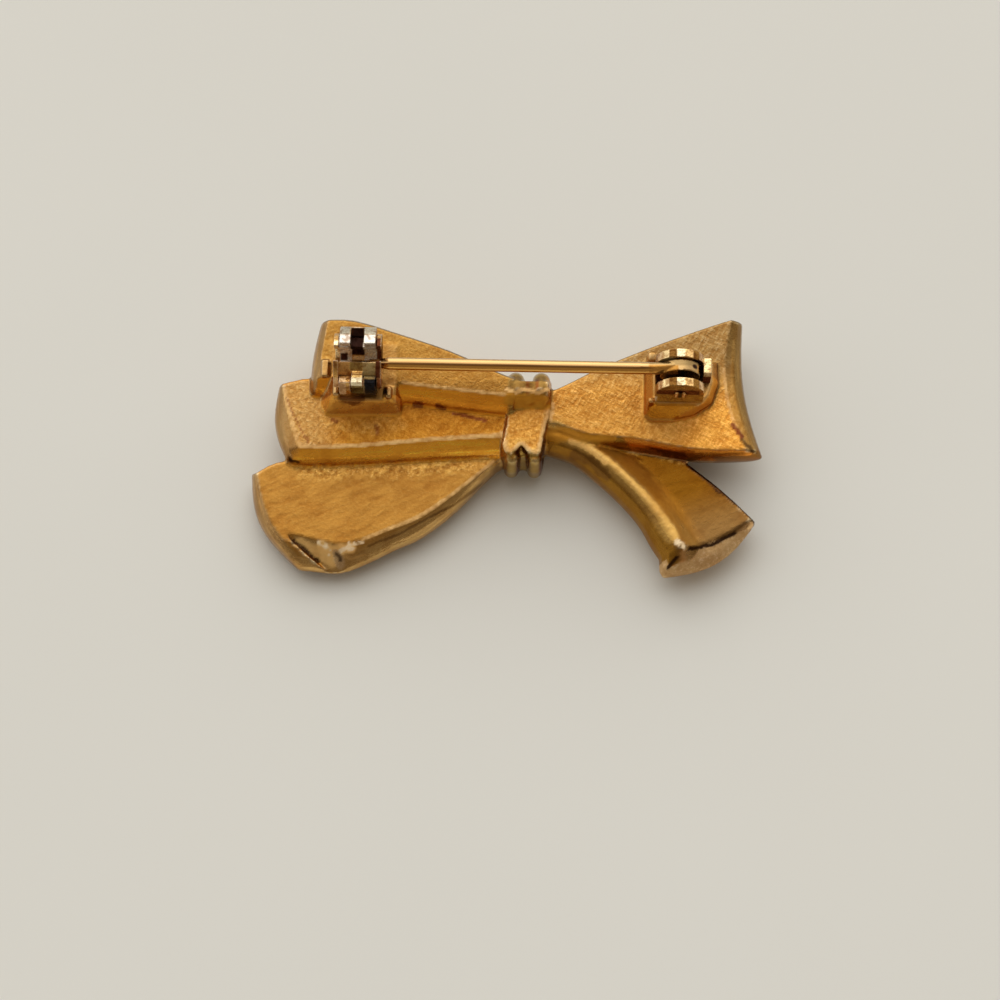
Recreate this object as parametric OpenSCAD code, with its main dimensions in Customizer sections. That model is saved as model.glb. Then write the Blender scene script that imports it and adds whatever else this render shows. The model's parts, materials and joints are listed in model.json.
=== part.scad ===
// A cast metal bow brooch, lying on its domed front with its back and pin up.
// The frame: X runs along the pin, Y towards the bow's upper edge, Z away from
// the surface that it lies on. Sizes of the bow are taken from the knot's centre.

/* [Top left loop] */
// Knot centre to the loop's free edge
top_reach = 15.7; // [14.5:0.1:17]
// Knot axis up to the loop's highest corner
top_rise = 7.7; // [7:0.1:8.6]
// Height of the flat back above the resting surface
top_back = 5.7; // [5:0.1:6.5]
// Height of the widest outline, where the back wall meets the domed front
top_girdle = 4.1; // [3.4:0.1:4.4]
// How far the side walls lean outwards
top_draft = 1.1; // [0.6:0.05:1.3]

/* [Middle left ribbon] */
// Knot centre to the ribbon's free corner
mid_reach = 18.4; // [16.5:0.1:19.5]
// Knot axis up to the ribbon's upper corner
mid_rise = 3.3; // [2.8:0.1:4]
// Knot axis down to the ribbon's lower edge
mid_drop = 1.5; // [1.2:0.1:2]
// Height of the flat back
mid_back = 4.2; // [3.7:0.1:4.7]
// Height of the widest outline
mid_girdle = 2.7; // [2:0.1:3]
// How far the side walls lean outwards
mid_draft = 1.2; // [0.7:0.05:1.4]

/* [Lower left loop] */
// Knot centre to the loop's far tip
low_reach = 20.1; // [18.5:0.1:21.5]
// Knot axis down to the back's lowest edge
low_drop = 8.5; // [7.6:0.1:9.4]
// Height of the flat back
low_back = 2.7; // [2.3:0.1:3.2]
// Height of the widest outline
low_girdle = 1.3; // [1:0.1:1.6]
// How far the side walls lean outwards
low_draft = 1.25; // [0.8:0.05:1.6]

/* [Right loop] */
// Knot centre to the loop's lower free corner
right_reach = 16.1; // [15:0.1:17.5]
// Knot axis up to the loop's highest corner
right_rise = 9.0; // [8:0.1:10]
// Knot axis down to the loop's lower edge
right_drop = 1.2; // [0.9:0.1:1.6]
// Height of the flat back
right_back = 4.4; // [4:0.1:5]
// Height of the widest outline
right_girdle = 3.0; // [2.4:0.1:3.3]
// How far the side walls lean outwards
right_draft = 0.55; // [0.3:0.05:0.9]
// How far the free edge curves in between its corners
right_hollow = 1.15; // [0.6:0.05:1.5]

/* [Tail] */
// Knot centre to the tail's far corner
tail_reach = 16.6; // [15:0.1:18]
// Knot axis down to the end of the rolled edge
tail_drop = 8.5; // [7.6:0.1:9.4]
// Height of the tail's flat back
tail_back = 2.9; // [2.6:0.1:3.3]
// Height of the widest outline
tail_girdle = 2.0; // [1.6:0.1:2.2]
// How far the rolled edge leans outwards
tail_draft = 1.25; // [0.8:0.05:1.5]
// Height of the rolled edge above the flat back
roll_h = 0.9; // [0.4:0.05:1.2]
// Width of the rolled edge, from its crest to the flat back
roll_w = 2.0; // [1.4:0.1:3]

/* [Knot] */
// Width of the knot across its two ribs
knot_w = 3.0; // [2.6:0.1:3.4]
// Knot centre up to the ribs' upper turn
knot_rise = 4.65; // [4.3:0.05:5]
// Knot centre down to the ribs' lower turn
knot_drop = 2.8; // [2.5:0.05:3.1]
// Height of the rough plate behind the knot
knot_plate = 4.6; // [4.4:0.1:5]
// Radius of each rib at its upper end
rib_r = 0.74; // [0.6:0.01:0.8]

/* [Pin line] */
// Knot axis up to the pin's centre line
pin_line = 3.65; // [3.35:0.05:3.95]
// Knot centre to the catch's middle
catch_reach = 12.4; // [11.7:0.1:12.7]
// Knot centre to the hinge's axis
hinge_reach = 10.95; // [10.5:0.05:11.6]
// Rise of both bosses above the highest flat back
boss_rise = 0.1; // [0:0.05:0.5]
// Diameter of the pin's wire
wire_d = 0.9; // [0.7:0.05:1]
// Pin's centre line above the hinge's axis
wire_lift = 0.5; // [0.3:0.05:0.6]
// Length of the ground point
point_len = 2.6; // [2:0.1:4]

/* [Hinge] */
// Radius of the ears
ear_r = 1.75; // [1.6:0.05:1.9]
// Thickness of each ear
ear_t = 0.65; // [0.5:0.05:0.75]
// Clear width between the ears
ear_gap = 1.55; // [1.5:0.05:1.9]
// Radius of the pin's round eye
eye_r = 1.45; // [1.3:0.05:1.5]
// Width of the pin's eye along the hinge's axis
eye_w = 0.86; // [0.8:0.02:1]
// Thickness of the bracket's base
base_t = 0.3; // [0.25:0.05:0.4]
// Radius of the rivet
rivet_r = 0.32; // [0.26:0.02:0.4]
// Radial running clearance of the rivet in the pin's eye
run_gap = 0.05; // [0.02:0.01:0.1]
// Radius of the rivet's heads
head_r = 0.48; // [0.45:0.01:0.6]

/* [Catch] */
// Outer radius of the housing
house_r = 2.45; // [2.35:0.05:2.6]
// Wall of the housing
house_t = 0.7; // [0.6:0.05:0.75]
// Length of the housing along the pin
house_len = 2.6; // [2.4:0.1:3]
// Width of the groove in which the thumb tab moves
groove_w = 0.94; // [0.86:0.02:1]
// Clearance between the rotor and the housing
turn_gap = 0.06; // [0.04:0.01:0.1]
// Wall of the rotor
rotor_t = 0.45; // [0.35:0.05:0.5]
// Thickness of the rotor's end flanges
flange_t = 0.36; // [0.3:0.02:0.45]
// Radius of the rotor's end flanges
flange_r = 1.95; // [1.85:0.05:2.2]
// Reach of the thumb tab from the rotor's axis
tab_reach = 2.95; // [2.8:0.05:3.2]
// Thickness of the thumb tab
tab_t = 0.55; // [0.4:0.05:0.7]
// Clearance of the pin's wire in the catch's mouth
mouth_gap = 0.1; // [0.08:0.01:0.15]

/* [Hidden] */

gold = "goldenrod";
pale_gold = "khaki";

// The bow's loops are lofted through rows. A row gives the two edges of the flat
// back, the first edge to the left of the second when looking from the knot
// towards the free end from above. Lengths are shares of the loop's own sizes,
// and the last column is the lean of the side walls as a share of the draft.

// Columns: north edge along, north edge up, south edge along, south edge up, lean
top_rows = [
    [0.07, 0.46, 0.07, 0.30, 1],
    [0.13, 0.50, 0.13, 0.30, 1],
    [0.37, 0.72, 0.36, 0.345, 1],
    [0.61, 0.885, 0.58, 0.395, 1],
    [0.82, 1.01, 0.84, 0.425, 1],
    [0.945, 1.02, 0.985, 0.44, 0.9]];

// Columns: north edge along, north edge up, south edge along, south edge down, lean
mid_rows = [
    [0.03, 0.45, 0.03, 0.18, 1],
    [0.12, 0.56, 0.12, 0.24, 1],
    [0.30, 0.75, 0.26, 0.36, 1],
    [0.53, 0.92, 0.44, 0.56, 1],
    [0.84, 1.17, 0.70, 0.92, 0.9],
    [0.985, 1.02, 0.905, 1.00, 0.9]];

// Columns: north edge along, north edge down, south edge along, south edge down, lean
low_rows = [
    [0.03, 0.07, 0.03, 0.15, 0.15],
    [0.11, 0.08, 0.11, 0.21, 0.3],
    [0.25, 0.11, 0.25, 0.485, 0.9],
    [0.40, 0.14, 0.38, 0.72, 1],
    [0.58, 0.17, 0.495, 0.84, 1.05],
    [0.78, 0.21, 0.61, 0.95, 1.25],
    [0.915, 0.265, 0.73, 0.985, 1.75],
    [0.985, 0.36, 0.855, 0.93, 2.0]];

// Columns: south edge along, south edge down, north edge along, north edge up, lean
right_rows = [
    [0.02, -0.60, 0.02, 0.28, 1],
    [0.135, -0.50, 0.15, 0.38, 1],
    [0.275, 0.12, 0.33, 0.555, 1],
    [0.485, 0.33, 0.56, 0.74, 1],
    [0.76, 0.95, 0.79, 0.905, 0.85],
    [1.00, 0.98, 0.935, 1.00, 0.7]];

// Columns: crest of the rolled edge along and down, far edge along and down, lean
tail_rows = [
    [0.03, -0.05, 0.05, -0.12, 1],
    [0.215, 0.06, 0.29, -0.05, 1.1],
    [0.30, 0.155, 0.44, 0.00, 1.1],
    [0.43, 0.375, 0.60, 0.08, 1.05],
    [0.55, 0.635, 0.77, 0.31, 1.05],
    [0.62, 0.83, 0.885, 0.50, 1.2],
    [0.67, 0.985, 0.995, 0.71, 1.2]];

// A side wall from the widest outline up to the back: share of the lean, share of the height
wall_rows = [[1.00, 0.04], [0.92, 0.30], [0.66, 0.62], [0.33, 0.84], [0.00, 1.00]];

// The same for the tail's rolled edge, which is round at its crest
roll_rows = [[1.00, 0.04], [0.88, 0.36], [0.56, 0.74], [0.22, 0.95], [0.00, 1.00]];

// A free end, from the back's edge to the widest outline: share of the lean, share of the height
end_rows = [[0.05, 0.98], [0.60, 0.68], [0.90, 0.36], [1.00, 0.05]];

// Rows added between two rows of a table, and flat columns across a loop
row_steps = 3;
flat_steps = 9;
// Shapes of the domed front: fullness across, where it starts to round off, and its gathers
dome_power = 2.4;
dome_start = 0.5;
knot_crest = 0.7;
gather_count = 3;
gather_depth = 0.45;
// Height of the upright band at the widest outline
girdle_land = 0.14;
// Share of a loop's length in its end wall, and how much its corners are rounded off
tip_share = 0.06;
corner_round = 0.35;

// Thickness of the plates between which a frustum is hulled, and a boss's depth in the loop
skin = 0.05;
boss_root = 0.8;
// The three-sided flat that cuts the lower loop's corner: where it starts as shares of the
// loop's reach and drop, its turn from the pin's line, its slope and its opening angle
bevel_start = [-0.88, -0.894];
bevel_turn = -12;
bevel_slope = 37;
bevel_spread = 31;
// Height of the ribs' crests above the resting surface
knot_lift = 0.15;
// The ribs' middles from the knot's, and how far their lower ends slip to the left
rib_x = knot_w / 2 - rib_r * 0.76;
low_slip = knot_w * 0.1;
// Height at which the ribs' upper ends meet each other, and the slope of the lip there
lip_h = top_back - rib_r * 0.15;
lip_slope = 49;
// How much wider the knot's plate is at its foot
plate_flare = 1.1;

// Outlines of the rough plate behind the knot, from its middle part to its two lower
// lobes. Columns: along as a share of the knot's width, up as a share of its drop
plate_parts = [
    [[-0.62, -0.40], [-0.50, 0.38], [-0.26, 0.54], [0.04, 0.64], [0.54, 0.70], [0.40, 0.11], [0.35, -0.41]],
    [[-0.62, -0.40], [-0.57, -0.60], [-0.42, -0.70], [-0.25, -0.54], [-0.16, -0.39]],
    [[-0.16, -0.39], [-0.10, -0.45], [0.02, -0.64], [0.28, -0.66], [0.32, -0.60], [0.35, -0.41]]];

// The lip above the plate, in line with the top loop's back, at its foot and at its top.
// Columns: along as a share of the knot's width, up as a share of its rise
lip_foot = [[-0.52, 0.27], [0.07, 0.375], [0.53, 0.42], [0.58, 0.80], [-0.48, 0.80]];
lip_top = [[-0.49, 0.48], [0.48, 0.505], [0.47, 0.74], [-0.46, 0.74]];

// The bosses under the fittings and their staking lugs, about the middle of each fitting.
// Columns: along as a share of the fitting's length, up as a share of its width
catch_foot = [[-1.08, -0.80], [-0.95, -1.09], [1.14, -1.05], [1.28, -0.55], [1.22, 1.06], [-1.00, 1.06]];
catch_top = [[-0.75, -0.72], [-0.65, -0.81], [1.03, -0.83], [1.06, 0.98], [-0.83, 0.98]];
hinge_foot = [[-1.42, -0.86], [-1.20, -0.99], [-0.45, -0.99], [0.60, -0.83],
    [1.45, -0.48], [1.75, 0.07], [1.72, 0.66], [-1.43, 0.64]];
hinge_top = [[-1.04, -0.58], [-0.85, -0.66], [0.92, -0.66], [1.25, -0.42],
    [1.42, -0.07], [1.42, 0.51], [-1.04, 0.49]];
// Columns: along, up, length, width, and height as a share of the room under the fitting
catch_lugs = [
    [-0.65, -0.41, 0.23, 0.78, 0.75],
    [0.84, -0.61, 0.23, 0.47, 0.95],
    [-0.97, 0.14, 0.28, 0.70, 0.55]];
hinge_lugs = [
    [-1.114, 0.568, 0.457, 0.280, 2.0],
    [-1.16, -0.60, 0.286, 0.175, 1.0]];

// Gap under the seated fittings, and round the parts that are fixed to each other
seat_gap = 0.02;
fit_gap = 0.02;

// How far the walls reach beyond the backs at the left, right, lower and upper ends
left_out = 0.2145;
right_out = 1.183;
lower_out = 1.846;
upper_out = 0.23;
// Middle of the bow's outline, so that the frame's origin lies under it
bow_shift = [
    (low_reach + left_out - right_reach - right_out) / 2,
    (low_drop + lower_out - right_rise - upper_out) / 2, 0];

// Both bosses end level, above the highest flat back
boss_top = max(top_back, mid_back, right_back) + boss_rise;
hinge_z = boss_top + seat_gap + base_t + run_gap + eye_r;
hinge_axis = [hinge_reach, pin_line, hinge_z];
// The wire lies towards the mouth's side of the catch, so that it lifts straight out
wire_aside = 0.12;
catch_axis = [-catch_reach, pin_line + wire_aside, boss_top + seat_gap + house_r];

// The catch's mouth, measured from the catch's axis
mouth_north = wire_d / 2 + mouth_gap - wire_aside;
mouth_south = -wire_d / 2 - mouth_gap - wire_aside;
mouth_angle = 150;
groove_north = 30;
groove_south = 215;
mouth_outline = [
    [mouth_north, 0], [mouth_north, 2 * house_r], [-2 * house_r, 2 * house_r],
    2 * house_r * [cos(mouth_angle), sin(mouth_angle)] / abs(cos(mouth_angle)), [0, 0]];
groove_outline = [
    [0, 0], 2 * house_r * [cos(groove_north), sin(groove_north)], [2 * house_r, 3 * house_r],
    [-3 * house_r, 3 * house_r], 2 * house_r * [cos(groove_south), sin(groove_south)]];
plate_w = 3.0;

// The rotor fills the housing and its flanges stand outside it
rotor_len = house_len + 2 * (turn_gap + flange_t);
tab_w = groove_w - 2 * turn_gap;
tab_angle = 147;

// Inner face of the north ear, measured from the pin's centre line
north_face = eye_w / 2 + run_gap;
// The stop behind the eye: its reach beyond the ears, its thickness, width and height
stop_reach = 0.56;
stop_t = 0.59;
stop_w = 1.15;
stop_h = 2.1;
head_t = 0.14;

// Length and width of each fitting, to which its boss is tied
catch_size = [house_len, house_r];
hinge_size = [ear_r, ear_gap + 2 * ear_t];

// The ground tip's diameter, how far it ends past the catch's middle, and the wire's
// full-thickness length from the hinge's axis
tip_past = 0.35;
point_d = 0.12;
shank_len = hinge_reach + catch_reach + tip_past - point_len;

function mix(a, b, f) = a + (b - a) * f;

// A smooth curve through four rows, from the second to the third
function smooth(p, q, r, s, f) =
    0.5 * (2 * q + (r - p) * f + (2 * p - 5 * q + 4 * r - s) * f * f + (3 * q - p - 3 * r + s) * f * f * f);

// All rows of a table, with smooth rows between them
function fine_rows(rows) =
    let (last = len(rows) - 1)
    [for (k = [0 : last * row_steps])
        let (i = min(floor(k / row_steps), last - 1), f = k / row_steps - i)
        smooth(rows[max(i - 1, 0)], rows[i], rows[i + 1], rows[min(i + 2, last)], f)];

// The two edge points of a row, in millimetres
function edges(row, along, first_across, second_across) =
    [[row[0] * along, row[1] * first_across], [row[2] * along, row[3] * second_across]];

// Depth of the front's dome at a place across (0 to 1) and along (0 knot, 1 free end)
function dome(across, along) =
    let (side = abs(2 * across - 1), end = max(0, along - dome_start) / (1 - dome_start))
    pow(max(0, 1 - pow(side, dome_power)), 1 / 2)
        * pow(max(0, 1 - pow(end, 4)), 1 / 2)
        * mix(knot_crest, 1, min(1, along / 0.45));

// One section of a loop: the upper points from the first edge to the second,
// then the lower points back. sink is the end wall's share of the height.
function section(pair, back, girdle, lean, sink, along, hollow, roll) =
    let (
        a = pair[0], b = pair[1], width = norm(b - a), across = (b - a) / width,
        ahead = [across[1], -across[0]], n = len(wall_rows), top = girdle + (back - girdle) * sink,
        wall_top = girdle + (back + roll - girdle) * sink,
        columns = concat(
            [for (w = roll > 0 ? roll_rows : wall_rows) [-w[0] * lean[0], mix(girdle, wall_top, w[1])]],
            [for (i = [1 : flat_steps])
                let (u = width * pow(i / (flat_steps + 1), roll > 0 ? 1.5 : 1))
                [u, top + roll * sink * (1 + cos(180 * min(1, u / roll_w))) / 2]],
            [for (i = [n - 1 : -1 : 0]) [width + wall_rows[i][0] * lean[1], mix(girdle, top, wall_rows[i][1])]]),
        place = function (u) a + across * u
            - ahead * hollow * sin(180 * (u + lean[0]) / (width + lean[0] + lean[1])),
        depth = function (u) let (s = (u + lean[0]) / (width + lean[0] + lean[1]))
            (girdle - girdle_land) * dome(s, along)
                - gather_depth * (1 - cos(360 * gather_count * s)) / 2 * pow(max(0, 0.6 - along), 2) * 2.5)
    concat(
        [for (c = columns) let (p = place(c[0])) [p[0], p[1], c[1]]],
        [for (i = [len(columns) - 1 : -1 : 0])
            let (u = columns[i][0], p = place(u))
            [p[0], p[1], girdle - girdle_land - max(0, depth(u))]]);

// A solid through sections of equal point count, closed at both ends
module loft(sections) {
    count = len(sections[0]);
    half = count / 2;
    last = (len(sections) - 1) * count;
    points = [for (s = sections) for (p = s) p];
    sides = [for (j = [0 : len(sections) - 2]) for (k = [0 : count - 1])
        let (a = j * count + k, b = j * count + (k + 1) % count, c = b + count, d = a + count)
        each [[a, b, c], [a, c, d]]];
    start = [for (i = [0 : half - 2])
        let (a = i, b = i + 1, c = count - 2 - i, d = count - 1 - i)
        each [[a, c, b], [a, d, c]]];
    end = [for (i = [0 : half - 2])
        let (a = last + i, b = last + i + 1, c = last + count - 2 - i, d = last + count - 1 - i)
        each [[a, b, c], [a, c, d]]];
    polyhedron(points, concat(sides, start, end), convexity = 6);
}

// A loop, ribbon or tail. leans are the outward leans of its first and second
// side; first_end and second_end say how far the free end's wall leans out at
// each edge; hollow_back and hollow_front how far the free edge curves in at the
// back and at the widest outline.
module ribbon(rows, pairs, back, girdle, leans, first_end, second_end, hollow_back = 0, hollow_front = 0, roll = 0) {
    last = len(pairs) - 1;
    body = [for (k = [0 : last])
        let (f = k / last)
        section(pairs[k], back, girdle, leans * rows[k][4], 1, f * (1 - tip_share),
            hollow_back * pow(f, 5), roll)];
    tip = [for (e = end_rows)
        let (pair = [pairs[last][0] + first_end * e[0], pairs[last][1] + second_end * e[0]])
        section(pair, back, girdle, leans * rows[last][4] * (1 - corner_round * pow(e[0], 3)), e[1],
            1 - tip_share * (1 - e[0]), mix(hollow_back, hollow_front, e[0]), roll)];
    loft(concat(body, tip));
}

module top_loop() {
    rows = fine_rows(top_rows);
    pairs = [for (r = rows) edges(r, -top_reach, top_rise, top_rise)];
    ribbon(rows, pairs, top_back, top_girdle, [top_draft * 0.45, top_draft], [-0.6, 0], [-0.5, 0],
        0, -0.2);
}

module mid_ribbon() {
    rows = fine_rows(mid_rows);
    pairs = [for (r = rows) edges(r, -mid_reach, mid_rise, -mid_drop)];
    ribbon(rows, pairs, mid_back, mid_girdle, [mid_draft * 0.2, mid_draft], [-0.3, 0], [-1.1, 0], -0.1, -0.6);
}

module low_loop() {
    rows = fine_rows(low_rows);
    pairs = [for (r = rows) edges(r, -low_reach, -low_drop, -low_drop)];
    difference() {
        ribbon(rows, pairs, low_back, low_girdle, [low_draft * 0.1, low_draft], [-0.45, 0.1], [-0.7, -0.1],
            -0.75, -0.95);
        translate([bevel_start[0] * low_reach, bevel_start[1] * low_drop, low_back])
            rotate([bevel_slope, 0, bevel_turn]) linear_extrude(low_back)
                polygon(low_drop * [[0, 0], [1, 0], [1, -tan(bevel_spread)]]);
    }
}

module right_loop() {
    rows = fine_rows(right_rows);
    pairs = [for (r = rows) edges(r, right_reach, -right_drop, right_rise)];
    ribbon(rows, pairs, right_back, right_girdle, [right_draft, right_draft * 0.6], [1.15, 0.1], [0.85, 0],
        right_hollow, right_hollow * 0.55);
}

module tail() {
    rows = fine_rows(tail_rows);
    pairs = [for (r = rows) edges(r, tail_reach, -tail_drop, -tail_drop)];
    ribbon(rows, pairs, tail_back, tail_girdle, [tail_draft, 0.15], [-0.2, -1.45], [0.2, -0.1], -0.25, -1.1,
        roll_h);
}

// A frustum between a foot and a top outline, both lists of plan points
module frustum(foot, foot_z, top, top_z) {
    hull() {
        translate([0, 0, foot_z]) linear_extrude(skin) polygon(foot);
        translate([0, 0, top_z - skin]) linear_extrude(skin) polygon(top);
    }
}

// The rough plate behind the knot, the web between its lower ribs and the lip above it
module knot_core() {
    for (part = plate_parts) {
        outline = [for (p = part) [p[0] * knot_w, p[1] * knot_drop]];
        frustum(outline * plate_flare, tail_girdle, outline, knot_plate);
    }
    frustum(
        place_block(-low_slip, -knot_drop * 0.35, 2 * rib_x, knot_drop * 0.80), low_girdle,
        place_block(-low_slip, -knot_drop * 0.33, 2 * rib_x, knot_drop * 0.62), knot_plate - rib_r);
    frustum(
        [for (p = lip_foot) [p[0] * knot_w, p[1] * knot_rise]], mid_back,
        [for (p = lip_top) [p[0] * knot_w, p[1] * knot_rise]], lip_h);
}

// The middle line of a rib, from the lip over the bow's upper edge, down its front and up
// to the plate's lower edge. Columns: up, height, radius as a share of the first, spread as
// a share of the ribs' distance, and slip as a share of the whole
rib_path = [
    [knot_rise * 0.48, top_back - rib_r * 0.66, 1.00, 0.85, 0],
    [knot_rise * 0.66, top_back - rib_r * 0.95, 0.95, 0.92, 0],
    [knot_rise * 0.79, top_back - rib_r * 1.50, 0.90, 1.00, 0],
    [knot_rise - rib_r * 0.88, top_back - rib_r * 2.30, 0.88, 1.00, 0],
    [knot_rise - rib_r * 0.88, top_back * 0.46, 0.88, 1.00, 0],
    [knot_rise - rib_r * 1.20, top_back * 0.28, 0.86, 1.00, 0.1],
    [knot_rise * 0.60, rib_r * 1.45, 0.85, 1.00, 0.2],
    [knot_rise * 0.30, rib_r * 0.84 + knot_lift, 0.84, 1.00, 0.4],
    [-knot_drop * 0.25, rib_r * 0.82 + knot_lift, 0.82, 0.95, 0.6],
    [-knot_drop * 0.58, rib_r * 1.50, 0.80, 0.92, 0.8],
    [-knot_drop + rib_r * 0.78, rib_r * 2.40, 0.76, 0.90, 1],
    [-knot_drop + rib_r * 0.76, rib_r * 3.60, 0.75, 0.90, 1],
    [-knot_drop + rib_r * 1.10, knot_plate - rib_r * 0.95, 0.74, 0.90, 1]];

// One place along a rib: a ball, or at the lip a disc that ends the rib flat
module rib_end(side, p) {
    translate([side * rib_x * p[3] - low_slip * p[4], p[0], p[1]]) {
        if (p == rib_path[0]) rotate([lip_slope, 0, 0]) cylinder(h = skin, r = rib_r * p[2], $fn = 24);
        else sphere(rib_r * p[2], $fn = 16);
    }
}

// One rib of the knot: a rounded bar that wraps its front from the lip to the plate
module rib(side) {
    for (i = [0 : len(rib_path) - 2]) {
        hull() {
            rib_end(side, rib_path[i]);
            rib_end(side, rib_path[i + 1]);
        }
    }
}

module knot() {
    knot_core();
    rib(-1);
    rib(1);
}

// A boss on a loop's back: it rises from its foot there to its top, and roots in the loop
module boss(foot, back, top) {
    hull() {
        translate([0, 0, back - boss_root]) linear_extrude(boss_root) polygon(foot);
        translate([0, 0, boss_top - skin]) linear_extrude(skin) polygon(top);
    }
}

// The boss under the catch, level with the top loop's back, and its three staking lugs
module catch_boss() {
    translate([-catch_reach, pin_line, 0]) {
        boss(stretch(catch_foot, catch_size), mid_back, stretch(catch_top, catch_size));
        lugs(catch_lugs, catch_size, house_r + seat_gap - flange_r);
    }
}

// The boss under the hinge, with its lower edge slanted as the loop's is, and two lugs
module hinge_boss() {
    translate([hinge_reach, pin_line, 0]) {
        boss(stretch(hinge_foot, hinge_size), right_back, stretch(hinge_top, hinge_size));
        lugs(hinge_lugs, hinge_size, base_t);
    }
}

// Staking lugs on a boss, which taper towards their tops
module lugs(rows, size, room) {
    for (lug = rows)
        frustum(
            place_block(lug[0] * size[0], lug[1] * size[1], lug[2] * size[0], lug[3] * size[1]),
            boss_top - boss_root,
            place_block(lug[0] * size[0], lug[1] * size[1], lug[2] * size[0] * 0.7, lug[3] * size[1] * 0.75),
            boss_top + lug[4] * room);
}

// An outline of shares at its real size
function stretch(outline, size) = [for (p = outline) [p[0] * size[0], p[1] * size[1]]];

// A rectangle about a centre
function place_block(x, y, length, width) =
    [[x - length / 2, y - width / 2], [x + length / 2, y - width / 2],
     [x + length / 2, y + width / 2], [x - length / 2, y + width / 2]];

module bow_casting() {
    color(gold) translate(bow_shift) {
        top_loop();
        mid_ribbon();
        low_loop();
        right_loop();
        tail();
        knot();
        catch_boss();
        hinge_boss();
    }
}

// A plan outline in the plane across the pin, swept along the pin about its middle
module along_pin(length) {
    rotate([90, 0, 90]) linear_extrude(length, center = true) children();
}

// The C-shaped housing on its base plate, about the catch's own axis
module housing_body() {
    difference() {
        union() {
            rotate([0, 90, 0]) cylinder(h = house_len, r = house_r, center = true, $fn = 96);
            translate([-house_len / 2, -plate_w / 2, -house_r]) cube([house_len, plate_w, base_t]);
        }
        rotate([0, 90, 0]) cylinder(h = house_len + 1, r = house_r - house_t, center = true, $fn = 96);
        along_pin(house_len + 1) polygon(mouth_outline);
        along_pin(groove_w) polygon(groove_outline);
    }
}

module catch_housing() {
    color(pale_gold) translate(bow_shift + catch_axis) housing_body();
}

module catch_rotor() {
    tube_r = house_r - house_t - turn_gap;
    color(pale_gold) translate(bow_shift + catch_axis) {
        difference() {
            union() {
                rotate([0, 90, 0]) cylinder(h = rotor_len, r = tube_r, center = true, $fn = 96);
                for (side = [-1, 1])
                    translate([side * (rotor_len - flange_t) / 2, 0, 0])
                        rotate([0, 90, 0]) cylinder(h = flange_t, r = flange_r, center = true, $fn = 96);
                rotate([tab_angle, 0, 0]) translate([-tab_w / 2, tube_r - rotor_t / 2, -tab_t / 2])
                    cube([tab_w, tab_reach - tube_r + rotor_t / 2, tab_t]);
            }
            rotate([0, 90, 0]) cylinder(h = rotor_len + 1, r = tube_r - rotor_t, center = true, $fn = 96);
            translate([-rotor_len, mouth_south, 0]) cube([2 * rotor_len, mouth_north - mouth_south, house_r]);
        }
    }
}

// An upright ear about the hinge's axis: a half disc on legs that run down to the base
module ear(near_y) {
    translate([0, near_y, 0]) {
        rotate([-90, 0, 0]) cylinder(h = ear_t, r = ear_r, $fn = 96);
        translate([-ear_r, 0, boss_top + seat_gap - hinge_z]) cube([2 * ear_r, ear_t, hinge_z - boss_top - seat_gap]);
    }
}

module joint_bracket() {
    floor_z = boss_top + seat_gap - hinge_z;
    color(gold) translate(bow_shift + hinge_axis) {
        difference() {
            union() {
                ear(north_face);
                ear(north_face - ear_gap - ear_t);
                translate([-ear_r, north_face - ear_gap - ear_t, floor_z])
                    cube([2 * ear_r, ear_gap + 2 * ear_t, base_t]);
                translate([0, north_face - stop_w * 0.6, floor_z]) {
                    cube([ear_r + stop_reach, stop_w, base_t]);
                    translate([ear_r + stop_reach - stop_t, 0, 0]) cube([stop_t, stop_w, stop_h]);
                }
            }
            rotate([90, 0, 0]) cylinder(h = 4 * ear_gap, r = rivet_r + fit_gap, center = true, $fn = 64);
        }
    }
}

module joint_rivet() {
    south = north_face - ear_gap - ear_t;
    north = north_face + ear_t;
    color(pale_gold) translate(bow_shift + hinge_axis) {
        translate([0, south - fit_gap - head_t, 0]) rotate([-90, 0, 0])
            cylinder(h = north - south + 2 * (fit_gap + head_t), r = rivet_r, $fn = 64);
        for (y = [south - fit_gap - head_t, north + fit_gap])
            translate([0, y, 0]) rotate([-90, 0, 0]) cylinder(h = head_t, r = head_r, $fn = 64);
    }
}

module pin_stem() {
    color(gold) translate(bow_shift + hinge_axis) {
        difference() {
            union() {
                rotate([90, 0, 0]) cylinder(h = eye_w, r = eye_r, center = true, $fn = 96);
                translate([-shank_len, 0, wire_lift]) rotate([0, 90, 0])
                    cylinder(h = shank_len - eye_r * 0.5, r = wire_d / 2, $fn = 64);
                translate([-shank_len - point_len, 0, wire_lift]) rotate([0, 90, 0])
                    cylinder(h = point_len, r1 = point_d / 2, r2 = wire_d / 2, $fn = 64);
            }
            rotate([90, 0, 0]) cylinder(h = 2 * eye_w, r = rivet_r + run_gap, center = true, $fn = 64);
        }
    }
}

bow_casting();
catch_housing();
catch_rotor();
joint_bracket();
pin_stem();
joint_rivet();
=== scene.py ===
"""Looks of the cast bow brooch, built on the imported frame.

Tables and mesh work are in millimetres in the frame's axes; pieces are turned into
metres when they are placed.
"""

import json
import math

import bmesh
import bpy
import numpy as np
from mathutils import Matrix, Vector, noise


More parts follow.
